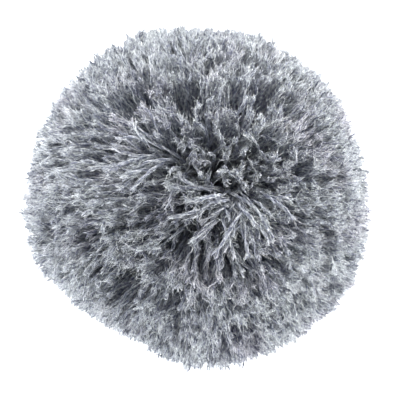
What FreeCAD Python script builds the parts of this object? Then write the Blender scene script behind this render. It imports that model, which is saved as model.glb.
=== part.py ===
"""Yarn pompom: cut yarn gripped at its waist by a tie thread, both ends fanned out and trimmed to a ball.

Every strand runs from its cut tip on one half of the ball, through the tie, to its tip on the other half.
The strands are grouped in bundles of 80, in four nested rings round the tie's axis. Each bundle is one
solid: a narrow neck inside the tie that opens into a tuft at each end.

Frame: +Z is up, and the tie's axis runs along Y. The origin is at the middle of the patch that the ball
rests on. Units are millimetres.
"""

import FreeCAD
import Part
import math
import os

# Driving dimensions
PILE_DIAMETER = 80.0  # over the trimmed yarn tips
REST_SINK = 1.0  # how far the ball's own weight flattens the pile that it rests on
WAIST_DIAMETER = 22.0  # the yarn where the thread grips it
WAIST_LENGTH = 4.4
PARTING_AT_SURFACE = 1.0  # the crease between the two halves, which nearly closes over the tie
TUFT_ROUNDING = 2.2
THREAD_DIAMETER = 1.5
THREAD_CLEARANCE = 0.05
TURN_PITCH = 1.3  # between the thread's two turns, which are pulled into each other
KNOT_SPREAD = 2.2  # half the length of the crossed knot
TAIL_REACH = 7.0  # how far each cut end of the thread reaches outwards from the knot
TAIL_SPLAY = 4.5  # and sideways

# How the bundles are arranged, from the tie's axis outwards: (ring's name, bundles in it)
RINGS = (("core", 1), ("inner", 6), ("middle", 12), ("outer", 18))
GAP_ANGLE = 0.7  # degrees between neighbouring bundles
GAP_AT_WAIST = 0.1

# Worked out from those
PILE_RADIUS = PILE_DIAMETER / 2
CENTRE_Z = PILE_RADIUS - REST_SINK
WAIST_RADIUS = WAIST_DIAMETER / 2
WAIST_HALF = WAIST_LENGTH / 2
THREAD_RADIUS = THREAD_DIAMETER / 2
BUNDLES = sum(count for _, count in RINGS)
TIE_AXIS = FreeCAD.Vector(0, 1, 0)
CENTRE = FreeCAD.Vector(0, 0, CENTRE_Z)


def on_profile(radius, along):
    """A point of the half-plane that holds the tie's axis: its radius, and how far along the axis it is."""
    return FreeCAD.Vector(radius, along, CENTRE_Z)


def on_ball(angle_deg, side=1):
    """The profile point on the ball's surface, at an angle from the tie's axis."""
    angle = math.radians(angle_deg)
    return on_profile(PILE_RADIUS * math.sin(angle), side * PILE_RADIUS * math.cos(angle))


def ring_limits():
    """For each ring, its inner and outer radius in the waist, and its inner and outer angle on the ball.

    Every bundle has the same area in the waist and the same area on the ball, as bundles of equal strands do.
    """
    parting = math.degrees(math.asin(PARTING_AT_SURFACE / 2 / PILE_RADIUS))
    inside, limits = 0, []
    for name, count in RINGS:
        outside = inside + count
        radii = [WAIST_RADIUS * math.sqrt(n / BUNDLES) for n in (inside, outside)]
        angles = [math.degrees(math.acos(1 - n / BUNDLES)) for n in (inside, outside)]
        angles[1] = min(angles[1], 90 - parting)
        limits.append((name, count, radii, angles))
        inside = outside
    return limits


def bundle_profile(radii, angles):
    """The closed outline of a bundle in the half-plane: tuft, neck, tuft. Only the core touches the axis."""
    in_core = radii[0] == 0
    inner_r = 0 if in_core else radii[0] + GAP_AT_WAIST / 2
    outer_r = radii[1] - GAP_AT_WAIST / 2
    inner_a = 0 if in_core else angles[0] + GAP_ANGLE / 2
    outer_a = angles[1] - GAP_ANGLE / 2
    middle_a = (inner_a + outer_a) / 2
    upper = Part.Arc(on_ball(inner_a), on_ball(middle_a), on_ball(outer_a))
    lower = Part.Arc(on_ball(outer_a, -1), on_ball(middle_a, -1), on_ball(inner_a, -1))
    neck = [on_profile(outer_r, WAIST_HALF), on_profile(outer_r, -WAIST_HALF)]
    spine = [on_profile(inner_r, -WAIST_HALF), on_profile(inner_r, WAIST_HALF)]
    outline = [
        upper,
        Part.LineSegment(on_ball(outer_a), neck[0]),
        Part.LineSegment(*neck),
        Part.LineSegment(neck[1], on_ball(outer_a, -1)),
        lower,
        Part.LineSegment(on_ball(inner_a, -1), spine[0]),
        Part.LineSegment(*spine),
        Part.LineSegment(spine[1], on_ball(inner_a)),
    ]
    return Part.Face(Part.Wire([edge.toShape() for edge in outline]))


def is_tuft_edge(edge):
    """True for the edges round a tuft's cut end, which all lie on the ball."""
    middle = edge.valueAt((edge.FirstParameter + edge.LastParameter) / 2)
    return abs((middle - CENTRE).Length - PILE_RADIUS) < 1e-3 and edge.Length > 1e-3


def rounded(bundle):
    """The bundle with the rim of both tufts rounded over, as loose yarn ends fall away at a tuft's edge."""
    return bundle.makeFillet(TUFT_ROUNDING, [e for e in bundle.Edges if is_tuft_edge(e)])


def pressed_flat(shape):
    """What is left of a shape above the surface that the ball rests on."""
    reach = 2 * PILE_DIAMETER
    above = Part.makeBox(reach, reach, reach, FreeCAD.Vector(-reach / 2, -reach / 2, 0))
    return shape.common(above)


def yarn_bundles():
    """Every bundle as (node name, solid). One bundle of the outer ring is centred on the resting patch."""
    for name, count, radii, angles in ring_limits():
        face = bundle_profile(radii, angles)
        if count == 1:
            yield f"yarn_bundle_{name}", rounded(face.revolve(CENTRE, TIE_AXIS, 360))
            continue
        pitch = 360 / count
        face.rotate(CENTRE, TIE_AXIS, 90 - pitch / 2 + GAP_ANGLE / 2)
        first = rounded(face.revolve(CENTRE, TIE_AXIS, pitch - GAP_ANGLE))
        for i in range(count):
            bundle = first.copy()
            bundle.rotate(CENTRE, TIE_AXIS, i * pitch)
            yield f"yarn_bundle_{name}_{i + 1:02d}", pressed_flat(bundle)


def round_rod(start, end):
    """A straight stretch of thread with round ends."""
    run = end - start
    rod = Part.makeCylinder(THREAD_RADIUS, run.Length, start, run)
    return rod.fuse([Part.makeSphere(THREAD_RADIUS, start), Part.makeSphere(THREAD_RADIUS, end)])


def tie_thread():
    """One thread: two turns round the waist, a knot under it, and two ends cut short inside the pile."""
    turn_radius = WAIST_RADIUS + THREAD_CLEARANCE + THREAD_RADIUS
    beside = TURN_PITCH / 2
    turns = [
        Part.makeTorus(turn_radius, THREAD_RADIUS, CENTRE + TIE_AXIS * side * beside, TIE_AXIS)
        for side in (-1, 1)
    ]
    knot_z = CENTRE_Z - turn_radius - THREAD_DIAMETER * 0.8
    tail_z = knot_z - TAIL_REACH
    knot = []
    for side in (-1, 1):
        here = FreeCAD.Vector(-KNOT_SPREAD, -side * beside, knot_z + THREAD_RADIUS)
        there = FreeCAD.Vector(KNOT_SPREAD, side * beside, knot_z)
        tip = FreeCAD.Vector(side * (KNOT_SPREAD + TAIL_SPLAY), 0, tail_z)
        knot += [round_rod(here, there), round_rod(there if side > 0 else here, tip)]
    over = FreeCAD.Vector(0, beside, knot_z - THREAD_RADIUS)
    under = FreeCAD.Vector(0, -beside, knot_z - THREAD_RADIUS)
    return turns[0].fuse([turns[1], *knot, round_rod(over, under)]).removeSplitter()


def main():
    os.makedirs("parts", exist_ok=True)
    total = 0
    for name, shape in [*yarn_bundles(), ("tie_thread", tie_thread())]:
        solids = shape.Solids
        if len(solids) != 1 or not shape.isValid():
            raise ValueError(f"{name} is {len(solids)} solids, valid: {shape.isValid()}")
        solids[0].exportStep(f"parts/{name}.step")
        total += 1
        print(f"{name}: {solids[0].Volume:.0f} mm3")
    print(f"{total} nodes")


main()
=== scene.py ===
"""Looks of the yarn pompom: every strand of every bundle as plied yarn, with brushed-out cut ends."""
import math

import bpy
import numpy as np
from mathutils import Matrix, Vector


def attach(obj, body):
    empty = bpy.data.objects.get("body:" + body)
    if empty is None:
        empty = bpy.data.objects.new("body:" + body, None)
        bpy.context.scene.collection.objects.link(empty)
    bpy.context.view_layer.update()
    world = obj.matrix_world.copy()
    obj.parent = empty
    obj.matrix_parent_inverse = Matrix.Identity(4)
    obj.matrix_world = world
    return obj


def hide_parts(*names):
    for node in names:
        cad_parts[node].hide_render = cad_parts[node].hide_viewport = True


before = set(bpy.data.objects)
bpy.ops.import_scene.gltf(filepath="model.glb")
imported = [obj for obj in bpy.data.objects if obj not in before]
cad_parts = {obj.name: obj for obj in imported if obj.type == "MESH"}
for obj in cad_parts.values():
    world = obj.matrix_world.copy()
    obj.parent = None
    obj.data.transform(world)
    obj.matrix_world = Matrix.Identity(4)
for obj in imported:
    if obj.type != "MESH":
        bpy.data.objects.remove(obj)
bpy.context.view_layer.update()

# ---------------------------------------------------------------- sizes, in millimetres, as in the CAD
BALL_RADIUS = 40.0
BALL_CENTRE = np.array([0.0, 0.0, 39.0])
WAIST_RADIUS = 11.0
WAIST_HALF = 2.2
RINGS = (("core", 1), ("inner", 6), ("middle", 12), ("outer", 18))
STRANDS_PER_BUNDLE = 80
BUNDLES = sum(count for _, count in RINGS)
STRANDS = BUNDLES * STRANDS_PER_BUNDLE
GOLDEN_ANGLE = math.pi * (3 - math.sqrt(5))

PLY_RADIUS = 0.225
PLY_OFFSET = 0.2  # from the strand's middle to each ply's
FAN_START = 15.0  # how far from the ball's middle a strand leaves the tie and turns outwards
BRUSH_LENGTH = 2.6  # how much of a ply's end is brushed out
HIDDEN_RADII = (0.38, 0.45)  # of a strand where its plies aren't modelled apart, from the tie outwards
PLACE_SCATTER = 0.55  # of each strand's place on the ball, before the pile is combed
PARTING_HALF = 0.3  # how far every strand's place keeps from the parting
CLUMPS = 1500
CLUMP_LEAN = 0.5
TIP_SCATTER = 1.25  # of each tip round its place
NEAR_PARTING = 0.86  # strands past this share of each half's stand beside the parting
OVER_PARTING = 1.8  # how far they stray over it
LOOSE_SHARE = 0.1  # of the strands, that have come loose at the surface and lie across the others
LOOSE_BY = (3, 6)  # how far their tips fall to one side
LOOSE_RISE = (-0.6, 0.3)  # how much higher those tips lie
IN_OPENING = 1.5  # strands pushed aside further than this by a crease or starburst don't come loose
TRIM_SCATTER = 0.55  # of the tips' distance from the ball's middle
LEAN_DROP = 70  # a strand that leans over by x has its tip lower by x * x / 70
SHORTEST, LONGEST = 30.0, 43.0  # distance of a tip from the ball's middle
LAID_AT = 0.7  # how high over the floor the strands under the ball are laid flat
FLOOR_GAP = 0.05

# Tone is the colour along a ramp from dark to light fibre, given to every vertex. Besides each strand's and
# ply's own tone, it holds painted shade where the plies touch and painted light on the loose fibres.
STRAND_TONES = 0.5  # how much strands differ
PLY_TONES = 0.35  # how much plies differ
PLY_LIGHTER = 0.8
PAINTED_GROOVE_SHADE = 2.8  # painted shade: how much darker a ply is painted where it lies against the other one, where shade falls between them
MOTTLE = 1.0  # light and dark fibres along a ply
# Painted light: loose fibres and hairs get a lighter tone than their ply, standing in for the light that
# sparse fuzz scatters.
BRUSH_PAINTED_LIGHT = 1.3
HAIR_PAINTED_LIGHT = 2.4

# Each ply's loose fibres: how many, and their radii from root to tip
BRUSH_FIBRES, BRUSH_RADII = 8, np.array([0.055, 0.06, 0.025])
LONG_HAIRS, LONG_HAIR_RADII = 4, np.array([0.032, 0.032, 0.02])
SHORT_HAIRS, SHORT_HAIR_RADII = 2, np.array([0.028, 0.02])
PLY_SIDES, FIBRE_SIDES = 4, 3
PLY_TWIST = (5, 8.5)  # the length of one turn of the two plies round each other
PLIES_OPEN = (0.1, 0.6)  # how far they come apart at the tip
SHOWS_FROM = 0.36  # the fraction of the way from the tie to the tip where the two plies are modelled apart

RNG = np.random.default_rng(20)


# ---------------------------------------------------------------- small vector helpers
def unit(v):
    return v / np.linalg.norm(v, axis=-1, keepdims=True)


def dot(a, b):
    return np.sum(a * b, axis=-1, keepdims=True)


def on_ball(lat, turn):
    """A direction from the ball's middle, in degrees: lat from the parting to +Y, turn from the top to +X."""
    lat, turn = math.radians(lat), math.radians(turn)
    return np.array([math.cos(lat) * math.sin(turn), math.sin(lat), math.cos(lat) * math.cos(turn)])


def heading(at, bearing):
    """The tangent direction at a place on the ball: 0 degrees is round the tie, 90 is towards +Y."""
    north = unit(np.array([0.0, 1.0, 0.0]) - at * at[1])
    east = np.cross(north, at)
    bearing = math.radians(bearing)
    return math.cos(bearing) * east + math.sin(bearing) * north


def smooth(x):
    x = np.clip(x, 0, 1)
    return x * x * (3 - 2 * x)


# ---------------------------------------------------------------- how the pile lies
# Starbursts, where the pile falls open: (lat, turn, mouth radius in mm, long side's bearing, how one-sided)
BURSTS = (
    (-1, 10, 0.9, 294, 0.85),
    (1, -13, 3.0, 190, 0.7),
    (-40, 48, 4.2, 250, 0.3),
    (-48, -14, 4.5, 240, 0.2),
    (-43, 9, 4.5, 280, 0.2),
    (-31, -32, 4.0, 200, 0.3),
    (10, -34, 5.0, 125, 0.7),
    (19, -15, 4.6, 114, 0.8),
    (22, -7, 3.2, 110, 0.8),
    (31, 6, 4.2, 110, 0.8),
    (33, 15, 3.8, 95, 0.8),
)
EDGE_WAVES, EDGE_DEPTH = 5, 0.16  # how ragged their edges are
# Long strands that lie over the pile: from which burst, between which bearings, their patch's radius in mm
LONG_STRANDS = ((0, (198, 375), 9.5), (1, (145, 250), 6.5))
ONE_IN = 2  # how many strands there are in that patch for each long one
ROOTED_UNDER = 9.5  # how far the patch is to the burst's long side, in mm
FOOT_LINE = 24  # the bearing of the line that they come up along
LONG_REACH = (7.0, 16.0)  # how far they lie over the pile, in mm
# Creases: (lat, turn) of both ends, half width in mm, how much more the far bank leans away than the near
CREASES = (
    ((7, -50), (15, -27), 1.9, 0.8),
    ((15, -27), (31, 8), 1.9, 0.8),
    ((31, 8), (38, 28), 1.9, 0.8),
    ((7, -17), (-1, 10), 0.5, -0.8),
    ((6, 42), (-10, 64), 3.0, 0.0),
    ((-34, -40), (-46, -2), 3.0, 0.0),
)
# Places where the pile is combed over one way: (lat, turn, radius in mm, bearing, how far in mm)
SWEEPS = (
    (-8, -36, 11, 205, 8.0),
    (-4, -54, 10, 200, 5.0),
    (48, -12, 11, 112, 5.0),
    (46, 20, 10, 85, 5.0),
    (30, -42, 9, 130, 4.0),
    (-22, 12, 8, 290, 4.0),
    (-12, 34, 8, 345, 4.0),
    (8, 14, 6, 290, 2.2),
    (8, -3, 6, 280, 1.2),
    (4, 3, 3.5, 300, 2.0),
    (5, 9, 3.5, 300, 1.8),
    (-14, -18, 9, 215, 5.5),
    (-18, -4, 7, 245, 4.5),
)
# Loose tufts that lean every way: how many, their radii and how far they lean, in mm
TUFTS = ((70, (7.0, 12.0), (0.8, 2.2)), (700, (2.0, 4.0), (0.4, 1.6)))
# Bulges and flats of the trimmed outline: (lat, turn, radius in mm, how far it stands out in mm)
LUMPS = (
    (-80, -140, 16, -4.0),
    (-64, 14, 7, -3.0),
    (-62, 60, 10, 1.0),
    (-60, -100, 10, 0.8),
    (-8, 92, 14, 1.6),
    (-36, -97, 12, 1.5),
    # the near bank of the long crease
    (5, -38, 3.6, 1.7),
    (12, -18, 3.6, 1.9),
    (16, -6, 3.2, 1.5),
    (25, 5, 3.6, 1.9),
    (28, 17, 3.6, 1.7),
)
UNEVEN_SPOTS, UNEVEN_BY = 120, (-1.8, 1.0)  # unevenness of the trim elsewhere, in mm


def bump_shape(d, at, radius):
    """1 at a place on the ball, easing off to nothing over about twice that radius in mm."""
    return np.exp(-((1 - dot(d, at)) * 2) / (radius / BALL_RADIUS) ** 2)


def combed(d):
    """Where the outer pile leans to, for strands that would stand straight up at directions d."""
    out = d.copy()
    rng = np.random.default_rng(7)
    for count, radii, pushes in TUFTS:
        for _ in range(count):
            at = unit(rng.normal(size=3))
            push = unit(np.cross(at, rng.normal(size=3))) * rng.uniform(*pushes) / BALL_RADIUS
            out = out + push * bump_shape(d, at, rng.uniform(*radii))
    for lat, turn, radius, bearing, far in SWEEPS:
        at = on_ball(lat, turn)
        out = out + heading(at, bearing) * far / BALL_RADIUS * bump_shape(d, at, radius)
    return unit(out)


def parted(d):
    """Where the creases and starbursts push those strands."""
    for ends in CREASES:
        d = opened_line(d, on_ball(*ends[0]), on_ball(*ends[1]), ends[2] / BALL_RADIUS, ends[3])
    for lat, turn, mouth, bearing, lopsided in BURSTS:
        d = opened_point(d, on_ball(lat, turn), mouth / BALL_RADIUS, bearing, lopsided)
    return d


def clumped(d):
    """Neighbouring tips lean together into clumps of about four, each clump a little its own way."""
    rng = np.random.default_rng(3)
    centres = unit(rng.normal(size=(CLUMPS, 3)))
    nearest = np.concatenate([np.argmax(part @ centres.T, axis=1) for part in np.array_split(d, 8)])
    own = centres[nearest]
    pull = rng.uniform(-0.1, 0.15, CLUMPS)[nearest][:, None]
    lean = rng.normal(size=(CLUMPS, 3))[nearest] * CLUMP_LEAN / BALL_RADIUS
    return unit(d + (own - d) * pull + lean)


def opened_point(d, at, mouth, bearing, lopsided):
    """Directions d, pushed out of a round opening with a ragged edge. Its mouth is an angle in radians.

    The bearing also sets where the waves of its edge begin, so that no two openings look alike.
    """
    away = d - at * dot(d, at)
    far = np.arccos(np.clip(dot(d, at), -1, 1))
    away = away / np.maximum(np.linalg.norm(away, axis=-1, keepdims=True), 1e-9)
    side = dot(away, heading(at, bearing))
    round_edge = np.arctan2(dot(away, heading(at, bearing + 90)), side)
    ragged = 1 + EDGE_DEPTH * np.sin(EDGE_WAVES * round_edge + bearing)
    hole = mouth * (1 + lopsided * side) * ragged
    new = np.sqrt(far**2 + hole**2 * np.exp(-((far / (1.6 * mouth)) ** 2)))
    return np.cos(new) * at + np.sin(new) * away


def opened_line(d, start, end, half, lopsided):
    """Directions d, pushed to both sides of a crease closed at its ends. Its half width is in radians."""
    across = unit(np.cross(start, end))
    along = unit(np.cross(across, start))
    length = math.acos(float(np.clip(np.dot(start, end), -1, 1)))
    place = np.arctan2(dot(d, along), dot(d, start)) / length
    ease = smooth(place / 0.25 + 0.4) * smooth((1 - place) / 0.25 + 0.4)
    ease = ease * (dot(d, start) > 0)
    far = np.arcsin(np.clip(dot(d, across), -1, 1))
    half_here = half * ease * (1 + lopsided * np.sign(far))
    new = np.sign(far) * np.sqrt(far**2 + half_here**2 * np.exp(-((far / (2.2 * half)) ** 2)))
    flat = unit(d - across * dot(d, across))
    return np.cos(new) * flat + np.sin(new) * across


def pile_height(d):
    """How far the trimmed tips stand from the ball's middle in each direction."""
    height = np.full(len(d), BALL_RADIUS)
    for lat, turn, radius, far in LUMPS:
        height += far * bump_shape(d, on_ball(lat, turn), radius)[:, 0]
    rng = np.random.default_rng(11)
    for _ in range(UNEVEN_SPOTS):
        at = unit(rng.normal(size=3))
        height += rng.uniform(*UNEVEN_BY) * bump_shape(d, at, rng.uniform(3, 8))[:, 0]
    return height


# ---------------------------------------------------------------- strands
def lattice():
    """Each strand's share of the waist, its angle there, and the bundle that it belongs to."""
    n = np.arange(STRANDS)
    share = (n + 0.5) / STRANDS
    angle = n * GOLDEN_ANGLE
    bundle = np.empty(STRANDS, int)
    names, first = [], 0
    for ring, count in RINGS:
        inside = (n >= first * STRANDS_PER_BUNDLE) & (n < (first + count) * STRANDS_PER_BUNDLE)
        pitch = 2 * math.pi / count
        sector = np.floor(((angle - math.pi / 2 + pitch / 2) % (2 * math.pi)) / pitch).astype(int) % count
        bundle[inside] = first + sector[inside]
        names += [ring if count == 1 else f"{ring}_{i + 1:02d}" for i in range(count)]
        first += count
    return share, angle, bundle, names


def standing(share, angle, half):
    """Directions on the ball for the strands' ends on one half, slightly out of line with each other."""
    cos_t = 1 - share
    sin_t = np.sqrt(1 - cos_t**2)
    d = np.stack([sin_t * np.cos(angle), half * cos_t, -sin_t * np.sin(angle)], axis=-1)
    d = unit(d + RNG.normal(size=d.shape) * PLACE_SCATTER / BALL_RADIUS)
    d[:, 1] = half * np.maximum(half * d[:, 1], PARTING_HALF / BALL_RADIUS)
    return unit(d)


def run_fractions():
    """How far along a strand's end its points are: few inside the pile, many where it shows."""
    return np.concatenate([
        np.linspace(0, SHOWS_FROM, 4)[:-1],
        np.linspace(SHOWS_FROM, 0.64, 6)[:-1],
        np.linspace(0.64, 1, 13),
    ])


def eased(t, many, steepness):
    """0 at the tie and 1 at the tip, for each strand by a power of its own between the two given."""
    return (t[None, :] ** RNG.uniform(*steepness, (many, 1)))[:, :, None]


def centrelines(share, angle, half):
    """Each strand's end from tie to tip (strands, points, 3), its points' fractions, a way across it."""
    d0 = standing(share, angle, half)
    many = len(d0)
    swept = combed(d0)
    open_ = parted(swept)
    d1 = clumped(open_)
    d1 = unit(d1 + RNG.normal(size=d1.shape) * TIP_SCATTER / BALL_RADIUS)
    beside_parting = smooth((share - NEAR_PARTING) / 0.12)
    over_parting = beside_parting * RNG.normal(size=many) * OVER_PARTING / BALL_RADIUS
    d1 = unit(d1 + over_parting[:, None] * np.array([0.0, 1.0, 0.0]))
    in_opening = np.linalg.norm(open_ - swept, axis=-1) * BALL_RADIUS > IN_OPENING
    is_loose = (RNG.random(many) < LOOSE_SHARE) & ~in_opening
    fallen = unit(np.cross(d1, RNG.normal(size=d1.shape)))
    fallen = fallen * (is_loose * RNG.uniform(*LOOSE_BY, many))[:, None] / BALL_RADIUS
    lean = np.linalg.norm(d1 - d0, axis=-1) * BALL_RADIUS
    tip = pile_height(d1) - lean**2 / LEAN_DROP + RNG.normal(size=many) * TRIM_SCATTER
    tip = np.clip(tip + is_loose * RNG.uniform(*LOOSE_RISE, many), SHORTEST, LONGEST)
    t = run_fractions()
    rho = FAN_START + (tip[:, None] - FAN_START) * t
    late = eased(t, many, (2.6, 5.0))
    last = eased(t, many, (6, 10))
    early = eased(t, many, (1.2, 1.9))
    d = d0[:, None, :] + (swept - d0)[:, None, :] * late + (open_ - swept)[:, None, :] * early
    d = unit(d + (d1 - open_)[:, None, :] * late + fallen[:, None, :] * last)
    side = unit(np.cross(d0, unit(RNG.normal(size=d0.shape))))
    line = d * rho[:, :, None] + wavy(rho, t, side, np.cross(d0, side))
    line = arched(line, t, d0)
    floor = LAID_AT - BALL_CENTRE[2]
    line[:, :, 2] = np.maximum(line[:, :, 2], floor + 0.05 * (line[:, :, 2] - floor))
    ref = unit(np.cross(d0, unit(d1 - d0 + 1e-4 * side)))
    return line, t, ref


def wavy(rho, t, side, other):
    """How far each strand's points sway to one side, and curl round its line near the tip."""
    many = len(rho)
    wave = np.sin(2 * math.pi * (rho / RNG.uniform(7, 12, (many, 1)) + RNG.random((many, 1)))) * t**1.5
    sway = side[:, None, :] * (wave * RNG.uniform(0.1, 0.45, (many, 1)))[:, :, None]
    turns = 2 * math.pi * (rho / RNG.uniform(3.4, 6.5, (many, 1)) + RNG.random((many, 1)))
    curl = smooth((t - 0.45) / 0.4) * RNG.uniform(0.05, 0.34, (many, 1))
    round_first = (curl * np.cos(turns))[:, :, None] * side[:, None, :]
    round_second = (curl * np.sin(turns))[:, :, None] * other[:, None, :]
    return sway + (round_first + round_second)


def arched(line, t, d0):
    """The lines, with some strands beside a starburst arching out of it over the pile, each its own way."""
    line = line.copy()
    for burst, bearings, patch in LONG_STRANDS:
        at = on_ball(*BURSTS[burst][:2])
        under = unit(at + heading(at, BURSTS[burst][3]) * ROOTED_UNDER / BALL_RADIUS)
        chosen = np.flatnonzero(d0 @ under > math.cos(patch / BALL_RADIUS))[::ONE_IN]
        for i, strand in enumerate(RNG.permutation(chosen)):
            share = (i + RNG.uniform(0.1, 0.9)) / len(chosen)
            way = heading(at, bearings[0] + (bearings[1] - bearings[0]) * share + RNG.normal() * 7)
            across = np.cross(at, way)
            reach, rise = RNG.uniform(*LONG_REACH), RNG.uniform(-1.2, 1.2)
            bend = RNG.normal() * 2.2
            foot = heading(at, FOOT_LINE) * RNG.normal() * 2.6
            foot = foot + heading(at, FOOT_LINE + 90) * RNG.normal() * 0.8
            # Six places along the strand, from inside the pile to its tip: how far each is from the
            # ball's middle, how far forward along its way and to the side, and its share of the foot
            outward = np.array([27, 33.0, 36.8 + rise, 39.7 + rise, 40.4 + 0.8 * rise, 40.0 + 0.5 * rise])
            forward = np.array([0.5, 1.2, 2.6, reach * 0.45, reach * 0.75, reach])
            sideways = bend * np.array([0, 0, 0.1, 0.35, 0.7, 1.2])
            rooted = np.array([0.5, 1, 1, 0.8, 0.6, 0.5])[:, None] * foot
            beside = forward[:, None] * way + sideways[:, None] * across + rooted
            arch = outward[:, None] * unit(BALL_RADIUS * at + beside)
            arch = arch + RNG.normal(size=arch.shape) * 0.25
            line[strand] = through(np.vstack([line[strand, :1], arch]), t)
    return line


def through(points, t):
    """A smooth curve through the points, at fractions t of the way along it."""
    lengths = np.linalg.norm(np.diff(points, axis=0), axis=1)
    reached = np.concatenate([[0], np.cumsum(lengths)]) / lengths.sum()
    u = np.interp(t, reached, np.arange(len(points)))
    k = np.clip(u.astype(int), 0, len(points) - 2)
    f = (u - k)[:, None]
    p1, p2 = points[k], points[k + 1]
    p0, p3 = points[np.maximum(k - 1, 0)], points[np.minimum(k + 2, len(points) - 1)]
    slope = p2 - p0
    bend = 2 * p0 - 5 * p1 + 4 * p2 - p3
    twist = 3 * p1 - p0 - 3 * p2 + p3
    return 0.5 * (2 * p1 + slope * f + bend * f**2 + twist * f**3)


def distance_along(line):
    """How far each point of the lines is from its line's start."""
    step = np.linalg.norm(np.diff(line, axis=1), axis=-1)
    return np.concatenate([np.zeros((len(line), 1)), np.cumsum(step, axis=1)], axis=1)


def across_line(line, ref):
    """The two directions across each line at each of its points."""
    tangent = unit(np.gradient(line, axis=1))
    first = unit(ref[:, None, :] - tangent * dot(ref[:, None, :], tangent))
    return first, np.cross(tangent, first)


def tubes(line, radius, ref, sides):
    """The vertices of tubes along the lines, as (tubes, points * sides, 3)."""
    first, second = across_line(line, ref)
    turn = np.arange(sides) * 2 * math.pi / sides
    ring = (first[:, :, None, :] * np.cos(turn)[None, None, :, None]
            + second[:, :, None, :] * np.sin(turn)[None, None, :, None])
    vertices = line[:, :, None, :] + ring * radius[:, :, None, None]
    return vertices.reshape(len(line), -1, 3)


def above_floor(line, radius):
    """The lines, lifted where a tube round them would reach under the surface that the ball rests on."""
    lowest = radius + FLOOR_GAP - BALL_CENTRE[2]
    return np.concatenate([line[:, :, :2], np.maximum(line[:, :, 2], lowest)[:, :, None]], axis=-1)


class Soup:
    """Collects tubes for one mesh."""

    def __init__(self, rng):
        self.rng = rng
        self.points, self.tone = [], []
        self.quads, self.caps = [], []
        self.count = 0

    def add(self, line, radius, ref, sides, tone, outward=None, mottle=0.0):
        """Closed tubes. Where outward is given, each tube is painted darker on the side that faces the other
        ply, as shade between the plies.
        """
        line = above_floor(line, radius)
        vertices = tubes(line, radius, ref, sides)
        many, each = vertices.shape[:2]
        k = line.shape[1]
        tone = np.repeat(tone[:, None], each, axis=1)
        if outward is not None:
            from_line = unit(vertices.reshape(many, k, sides, 3) - line[:, :, None, :])
            facing = dot(from_line, outward[:, :, None, :])[..., 0].reshape(many, each)
            # Painted shade: the side of each ply that faces the other ply is made darker, as if shaded by it.
            tone = tone - PAINTED_GROOVE_SHADE * (1 - facing) / 2 + self.rng.normal(size=tone.shape) * mottle
        a = np.arange(k - 1)[:, None] * sides + np.arange(sides)[None, :]
        b = np.arange(k - 1)[:, None] * sides + (np.arange(sides)[None, :] + 1) % sides
        quads = np.stack([a, b, b + sides, a + sides], axis=-1).reshape(-1, 4)
        start = self.count + np.arange(many)[:, None, None] * each
        self.quads.append((quads[None] + start).reshape(-1, 4))
        low = np.arange(sides)[::-1]
        high = (k - 1) * sides + np.arange(sides)
        caps = np.stack([low, high])
        self.caps.append((sides, (caps[None] + start).reshape(-1, sides)))
        self.points.append(vertices.reshape(-1, 3))
        self.tone.append(tone.ravel())
        self.count += many * each

    def mesh(self, name):
        """All the tubes as one mesh in metres, with each vertex's tone as an attribute."""
        points = np.concatenate(self.points)
        points = (points + BALL_CENTRE) / 1000
        quads = np.concatenate(self.quads)
        loops = [quads.reshape(-1)] + [caps.reshape(-1) for _, caps in self.caps]
        sizes = [np.full(len(quads), 4)] + [np.full(len(caps), sides) for sides, caps in self.caps]
        loops, sizes = np.concatenate(loops).astype(np.int32), np.concatenate(sizes)
        starts = np.concatenate([[0], np.cumsum(sizes)[:-1]]).astype(np.int32)
        mesh = bpy.data.meshes.new(name)
        mesh.vertices.add(len(points))
        mesh.vertices.foreach_set("co", points.astype(np.float32).ravel())
        mesh.loops.add(len(loops))
        mesh.loops.foreach_set("vertex_index", loops)
        mesh.polygons.add(len(starts))
        mesh.polygons.foreach_set("loop_start", starts)
        mesh.polygons.foreach_set("use_smooth", np.ones(len(starts), bool))
        mesh.update(calc_edges=True)
        tone = mesh.attributes.new("tone", "FLOAT", "POINT")
        tone.data.foreach_set("value", np.concatenate(self.tone).astype(np.float32))
        return mesh


def add_end(soup, line, t, ref, rng):
    """One bundle's strands on one half: the hidden run, then two plies with brushed tips and hairs."""
    many = len(line)
    strand_tone = rng.normal(size=many) * STRAND_TONES
    along = distance_along(line)
    left = along[:, -1:] - along
    hidden = t <= SHOWS_FROM + 0.01
    taper = np.linspace(*HIDDEN_RADII, hidden.sum())[None, :] * np.ones((many, 1))
    soup.add(line[:, hidden], taper, ref, PLY_SIDES, strand_tone)
    show = t >= SHOWS_FROM - 0.01
    first, second = across_line(line, ref)
    run, to_tip = line[:, show], left[:, show]
    first, second = first[:, show], second[:, show]
    bloom = smooth(1 - to_tip / BRUSH_LENGTH)
    start = rng.random((many, 1)) * 2 * math.pi
    phase = start + 2 * math.pi * along[:, show] / rng.uniform(*PLY_TWIST, (many, 1))
    opening = rng.uniform(*PLIES_OPEN, (many, 1))
    for ply in (0, 1):
        psi = phase + math.pi * ply
        out = first * np.cos(psi)[:, :, None] + second * np.sin(psi)[:, :, None]
        offset = PLY_OFFSET + opening * bloom
        ply_line = run + out * offset[:, :, None]
        radius = PLY_RADIUS * (1 - 0.12 * bloom)
        radius[:, -1] *= 0.55
        tone = strand_tone + rng.normal(size=many) * PLY_TONES
        soup.add(ply_line, radius, ref, PLY_SIDES, tone + PLY_LIGHTER, out, MOTTLE)
        add_brush(soup, ply_line, out[:, -1], ref, tone, rng)


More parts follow.
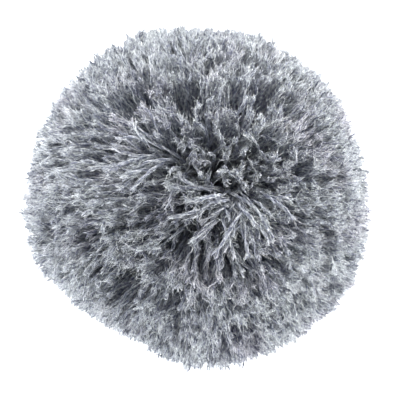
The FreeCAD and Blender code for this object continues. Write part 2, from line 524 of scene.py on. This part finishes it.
def add_brush(soup, ply_line, outward, ref, tone, rng):
    """The fibres that a cut ply spreads into at its tip, then long fine ones, then short straight ones, all
    with painted light: a lighter tone than their ply, standing in for the brighter look of loose fuzz in the
    light.
    """
    many = len(ply_line)
    every = np.arange(many)
    tip = ply_line[:, -1]
    tangent = unit(tip - ply_line[:, -3])
    for _ in range(BRUSH_FIBRES):
        spread = unit(np.cross(tangent, rng.normal(size=(many, 3))))
        reach = 0.08 + 0.85 * rng.random((many, 1)) ** 1.7
        start = ply_line[every, rng.integers(-4, -1, many)] + spread * 0.1
        end = tip + spread * reach + outward * 0.1 + tangent * rng.uniform(-1.1, 0.5, (many, 1))
        middle = (start + end) / 2 + spread * 0.12 + unit(rng.normal(size=(many, 3))) * 0.15
        line = np.stack([start, middle, end], axis=1)
        radius = BRUSH_RADII[None, :] * rng.uniform(0.6, 1.15, (many, 1))
        # Painted light: brushed fibres are made lighter than their ply.
        soup.add(line, radius, ref, FIBRE_SIDES, tone + BRUSH_PAINTED_LIGHT + rng.normal(size=many))
    for _ in range(LONG_HAIRS):
        spread = unit(np.cross(tangent, rng.normal(size=(many, 3))))
        start = ply_line[every, rng.integers(-8, 0, many)]
        end = start + spread * rng.uniform(0.2, 1.5, (many, 1)) + tangent * rng.uniform(0.4, 3.2, (many, 1))
        middle = (start + end) / 2 + unit(rng.normal(size=(many, 3))) * 0.35
        line = np.stack([start, middle, end], axis=1)
        radius = LONG_HAIR_RADII[None, :] * np.ones((many, 1))
        # Painted light: long hairs are made lighter still.
        soup.add(line, radius, ref, FIBRE_SIDES, tone + HAIR_PAINTED_LIGHT)
    for _ in range(SHORT_HAIRS):
        start = ply_line[every, rng.integers(-7, 0, many)]
        stray = unit(unit(tip) + 0.85 * rng.normal(size=(many, 3)) / math.sqrt(3))
        line = np.stack([start, start + stray * rng.uniform(0.8, 2.4, (many, 1))], axis=1)
        radius = SHORT_HAIR_RADII[None, :] * np.ones((many, 1))
        # Painted light: short hairs are made lighter still.
        soup.add(line, radius, ref, FIBRE_SIDES, tone + HAIR_PAINTED_LIGHT)


def add_waist(soup, share, angle, lines, rng):
    """The run of each strand through the tie, joining its two ends."""
    across = WAIST_RADIUS * np.sqrt(share)
    middle = np.stack([across * np.cos(angle), 0 * across, -across * np.sin(angle)], axis=-1)
    points = []
    for half, line in ((-1, lines[-1]), (1, lines[1])):
        neck = middle + np.array([0, half * WAIST_HALF, 0])
        shoulder = (neck + line[:, 0]) / 2
        points.append([line[:, 1], line[:, 0], shoulder, neck])
    path = np.stack(points[0] + [middle] + points[1][::-1], axis=1)
    half_radii = np.array([0.42, 0.4, 0.34, 0.24, 0.22])
    radius = np.concatenate([half_radii, half_radii[-2::-1]])[None, :] * np.ones((len(path), 1))
    ref = unit(np.cross(unit(path[:, -1] - path[:, 0]), np.array([0.3, 0.2, 0.93])))
    soup.add(path, radius, ref, PLY_SIDES, rng.normal(size=len(path)) * STRAND_TONES)


def build_bundles(material):
    """One piece for each CAD bundle, which it replaces."""
    share, angle, bundle, names = lattice()
    lines = {half: centrelines(share, angle, half) for half in (-1, 1)}
    for number, name in enumerate(names):
        mine = bundle == number
        rng = np.random.default_rng(100 + number)
        soup = Soup(rng)
        for half in (-1, 1):
            line, t, ref = lines[half]
            add_end(soup, line[mine], t, ref[mine], rng)
        ends = {half: lines[half][0][mine] for half in (-1, 1)}
        add_waist(soup, share[mine], angle[mine], ends, rng)
        mesh = soup.mesh(f"strands_{name}")
        mesh.materials.append(material)
        piece = bpy.data.objects.new(f"strands_{name}", mesh)
        bpy.context.scene.collection.objects.link(piece)
        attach(piece, "root")
        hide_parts(f"yarn_bundle_{name}")


# ---------------------------------------------------------------- materials
DARK_FIBRE = (0.147, 0.158, 0.217, 1)
MIDDLE_FIBRE = (0.283, 0.304, 0.378, 1)
LIGHT_FIBRE = (0.87, 0.892, 0.895, 1)
TONE_STEP = 0.11  # of the colour ramp, for one unit of tone
FLECK_SCALE = 1800  # per metre
PATCH_SCALE = 90  # per metre, of the faintly pinker patches


def new_material(name):
    material = bpy.data.materials.new(name)
    material.use_nodes = True
    tree = material.node_tree
    return material, tree, tree.nodes["Principled BSDF"]


def yarn_material():
    """Cool grey yarn: each vertex's tone (its own tone plus painted shade and painted light) with fine flecks
    over it, and half of the light passing through.
    """
    material, tree, shader = new_material("yarn")
    nodes, links = tree.nodes, tree.links
    tone = nodes.new("ShaderNodeAttribute")
    tone.attribute_name = "tone"
    place = nodes.new("ShaderNodeTexCoord")
    fleck = nodes.new("ShaderNodeTexNoise")
    fleck.inputs["Scale"].default_value = FLECK_SCALE
    fleck.inputs["Detail"].default_value = 2
    links.new(place.outputs["Object"], fleck.inputs["Vector"])
    patch = nodes.new("ShaderNodeTexNoise")
    patch.inputs["Scale"].default_value = PATCH_SCALE
    patch.inputs["Detail"].default_value = 1
    links.new(place.outputs["Object"], patch.inputs["Vector"])
    stronger = nodes.new("ShaderNodeMath")
    stronger.operation = "MULTIPLY_ADD"
    links.new(fleck.outputs["Fac"], stronger.inputs[0])
    stronger.inputs[1].default_value = 1.3
    stronger.inputs[2].default_value = -0.15
    total = nodes.new("ShaderNodeMath")
    total.operation = "MULTIPLY_ADD"
    links.new(tone.outputs["Fac"], total.inputs[0])
    total.inputs[1].default_value = TONE_STEP
    links.new(stronger.outputs["Value"], total.inputs[2])
    ramp = nodes.new("ShaderNodeValToRGB")
    ramp.color_ramp.elements[0].position = 0.0
    ramp.color_ramp.elements[0].color = DARK_FIBRE
    ramp.color_ramp.elements[1].position = 0.85
    ramp.color_ramp.elements[1].color = LIGHT_FIBRE
    middle = ramp.color_ramp.elements.new(0.35)
    middle.color = MIDDLE_FIBRE
    links.new(total.outputs["Value"], ramp.inputs["Fac"])
    tint = nodes.new("ShaderNodeMix")
    tint.data_type = "RGBA"
    tint.blend_type = "MULTIPLY"
    tint.inputs["B"].default_value = (1.0, 0.97, 0.99, 1)
    blend = nodes.new("ShaderNodeMapRange")
    blend.inputs["From Min"].default_value = 0.5
    blend.inputs["From Max"].default_value = 0.7
    links.new(patch.outputs["Fac"], blend.inputs["Value"])
    links.new(blend.outputs["Result"], tint.inputs["Factor"])
    links.new(ramp.outputs["Color"], tint.inputs["A"])
    links.new(tint.outputs["Result"], shader.inputs["Base Color"])
    dull = nodes.new("ShaderNodeMapRange")
    dull.inputs["To Min"].default_value = 0.95
    dull.inputs["To Max"].default_value = 0.7
    links.new(fleck.outputs["Fac"], dull.inputs["Value"])
    links.new(dull.outputs["Result"], shader.inputs["Roughness"])
    fibre = nodes.new("ShaderNodeBump")
    fibre.inputs["Strength"].default_value = 0.7
    fibre.inputs["Distance"].default_value = 0.0002
    links.new(fleck.outputs["Fac"], fibre.inputs["Height"])
    links.new(fibre.outputs["Normal"], shader.inputs["Normal"])
    shader.inputs["Specular IOR Level"].default_value = 0.25
    shader.inputs["Sheen Weight"].default_value = 0.35
    shader.inputs["Sheen Roughness"].default_value = 0.5
    shader.inputs["Sheen Tint"].default_value = (0.92, 0.95, 1.0, 1)
    glow = nodes.new("ShaderNodeBsdfTranslucent")
    links.new(tint.outputs["Result"], glow.inputs["Color"])
    both = nodes.new("ShaderNodeMixShader")
    both.inputs["Fac"].default_value = 0.5
    links.new(shader.outputs["BSDF"], both.inputs[1])
    links.new(glow.outputs["BSDF"], both.inputs[2])
    links.new(both.outputs["Shader"], nodes["Material Output"].inputs["Surface"])
    return material


def thread_material():
    """Twisted thread, a little darker and smoother than the yarn."""
    material, tree, shader = new_material("tie_thread")
    nodes, links = tree.nodes, tree.links
    place = nodes.new("ShaderNodeTexCoord")
    wave = nodes.new("ShaderNodeTexWave")
    wave.inputs["Scale"].default_value = 400
    wave.inputs["Distortion"].default_value = 3
    links.new(place.outputs["Object"], wave.inputs["Vector"])
    ramp = nodes.new("ShaderNodeValToRGB")
    ramp.color_ramp.elements[0].color = (0.2, 0.21, 0.25, 1)
    ramp.color_ramp.elements[1].color = (0.36, 0.38, 0.43, 1)
    links.new(wave.outputs["Fac"], ramp.inputs["Fac"])
    links.new(ramp.outputs["Color"], shader.inputs["Base Color"])
    bump = nodes.new("ShaderNodeBump")
    bump.inputs["Strength"].default_value = 0.4
    bump.inputs["Distance"].default_value = 0.0002
    links.new(wave.outputs["Fac"], bump.inputs["Height"])
    links.new(bump.outputs["Normal"], shader.inputs["Normal"])
    shader.inputs["Roughness"].default_value = 0.7
    return material


def glowing_material(name, colour, glow):
    """A matt surface that glows a little, so that it stays pale."""
    material, tree, shader = new_material(name)
    shader.inputs["Base Color"].default_value = (*colour, 1)
    shader.inputs["Roughness"].default_value = 0.9
    shader.inputs["Emission Color"].default_value = (*colour, 1)
    shader.inputs["Emission Strength"].default_value = glow
    return material


# ---------------------------------------------------------------- studio
FLOOR_HALF = 3.0  # metres
FLOOR_COLOUR = (0.95, 0.955, 0.96)
FLOOR_GLOW = 1.8
SKY_COLOUR = (0.98, 0.99, 1.0, 1)
SKY_SIDES = 11.5
SKY_TOP = 0.5
SKY_TOP_FROM = 0.42  # the sine of the elevation above which the sky is dim
WHITE = (1, 1, 1)
WARM = (1.0, 0.98, 0.92)
CAMERA_TILT, CAMERA_ROLL = 7, 24  # degrees
CAMERA_AWAY, CAMERA_RIGHT, CAMERA_UP = 392.0, 0.35, -0.8  # from the ball's middle
CAMERA_LENS = 150
LAMP_AWAY = 420


def build_floor():
    """A plain pale floor at the height of the patch that the ball rests on."""
    mesh = bpy.data.meshes.new("floor")
    corners = [(x * FLOOR_HALF, y * FLOOR_HALF, 0) for x, y in ((-1, -1), (1, -1), (1, 1), (-1, 1))]
    mesh.from_pydata(corners, [], [(0, 1, 2, 3)])
    mesh.materials.append(glowing_material("floor", FLOOR_COLOUR, FLOOR_GLOW))
    floor = bpy.data.objects.new("floor", mesh)
    bpy.context.scene.collection.objects.link(floor)


def build_world():
    """White all round, dimmer overhead."""
    world = bpy.data.worlds.new("studio")
    world.use_nodes = True
    bpy.context.scene.world = world
    tree = world.node_tree
    nodes, links = tree.nodes, tree.links
    place = nodes.new("ShaderNodeTexCoord")
    split = nodes.new("ShaderNodeSeparateXYZ")
    links.new(place.outputs["Generated"], split.inputs["Vector"])
    strength = nodes.new("ShaderNodeMapRange")
    strength.inputs["From Min"].default_value = 0.0
    strength.inputs["From Max"].default_value = SKY_TOP_FROM
    strength.inputs["To Min"].default_value = SKY_SIDES
    strength.inputs["To Max"].default_value = SKY_TOP
    links.new(split.outputs["Z"], strength.inputs["Value"])
    background = nodes["Background"]
    background.inputs["Color"].default_value = SKY_COLOUR
    links.new(strength.outputs["Result"], background.inputs["Strength"])


def camera_axes():
    """Right, up and back of a camera that looks down on the parting, tipped a little and turned."""
    tilt, roll = math.radians(CAMERA_TILT), math.radians(CAMERA_ROLL)
    back = np.array([0, -math.sin(tilt), math.cos(tilt)])
    flat = np.array([1.0, 0, 0])
    rise = np.cross(back, flat)
    right = math.cos(roll) * flat + math.sin(roll) * rise
    return right, np.cross(back, right), back


def build_camera():
    """The camera, placed from the ball's middle along its own axes."""
    right, up, back = camera_axes()
    data = bpy.data.cameras.new("camera")
    data.lens = CAMERA_LENS
    data.sensor_width = 36
    data.clip_start = 0.01
    data.clip_end = 20
    at = (BALL_CENTRE + back * CAMERA_AWAY + right * CAMERA_RIGHT + up * CAMERA_UP) / 1000
    camera = bpy.data.objects.new("camera", data)
    turn = Matrix([[*map(float, row)] for row in np.stack([right, up, back], axis=1)]).to_4x4()
    camera.matrix_world = Matrix.Translation([float(x) for x in at]) @ turn
    bpy.context.scene.collection.objects.link(camera)
    bpy.context.scene.camera = camera


def build_lamp(name, direction, size, energy, colour):
    """A round lamp aimed at the ball. Its direction from the ball is (right, up, back) of the camera."""
    right, up, back = camera_axes()
    light = bpy.data.lights.new(name, "AREA")
    light.shape = "DISK"
    light.size = size
    light.energy = energy
    light.color = colour
    towards = unit(right * direction[0] + up * direction[1] + back * direction[2])
    at = (BALL_CENTRE + LAMP_AWAY * towards) / 1000
    lamp = bpy.data.objects.new(name, light)
    lamp.location = [float(x) for x in at]
    aim = Vector([float(x) for x in BALL_CENTRE / 1000 - at])
    lamp.rotation_euler = aim.to_track_quat("-Z", "Y").to_euler()
    lamp.visible_camera = False
    bpy.context.scene.collection.objects.link(lamp)


bpy.context.scene.view_settings.view_transform = "Standard"
build_floor()
build_world()
build_camera()
build_lamp("key", (-1.4, 0.4, 0.7), 0.2, 1.05, WHITE)
build_lamp("side", (1.0, 0.0, -0.07), 0.3, 3.8, WARM)
build_lamp("rear", (-0.1, 1.0, 0.0), 0.3, 1.4, WARM)
build_bundles(yarn_material())
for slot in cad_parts["tie_thread"].material_slots:
    slot.material = thread_material()
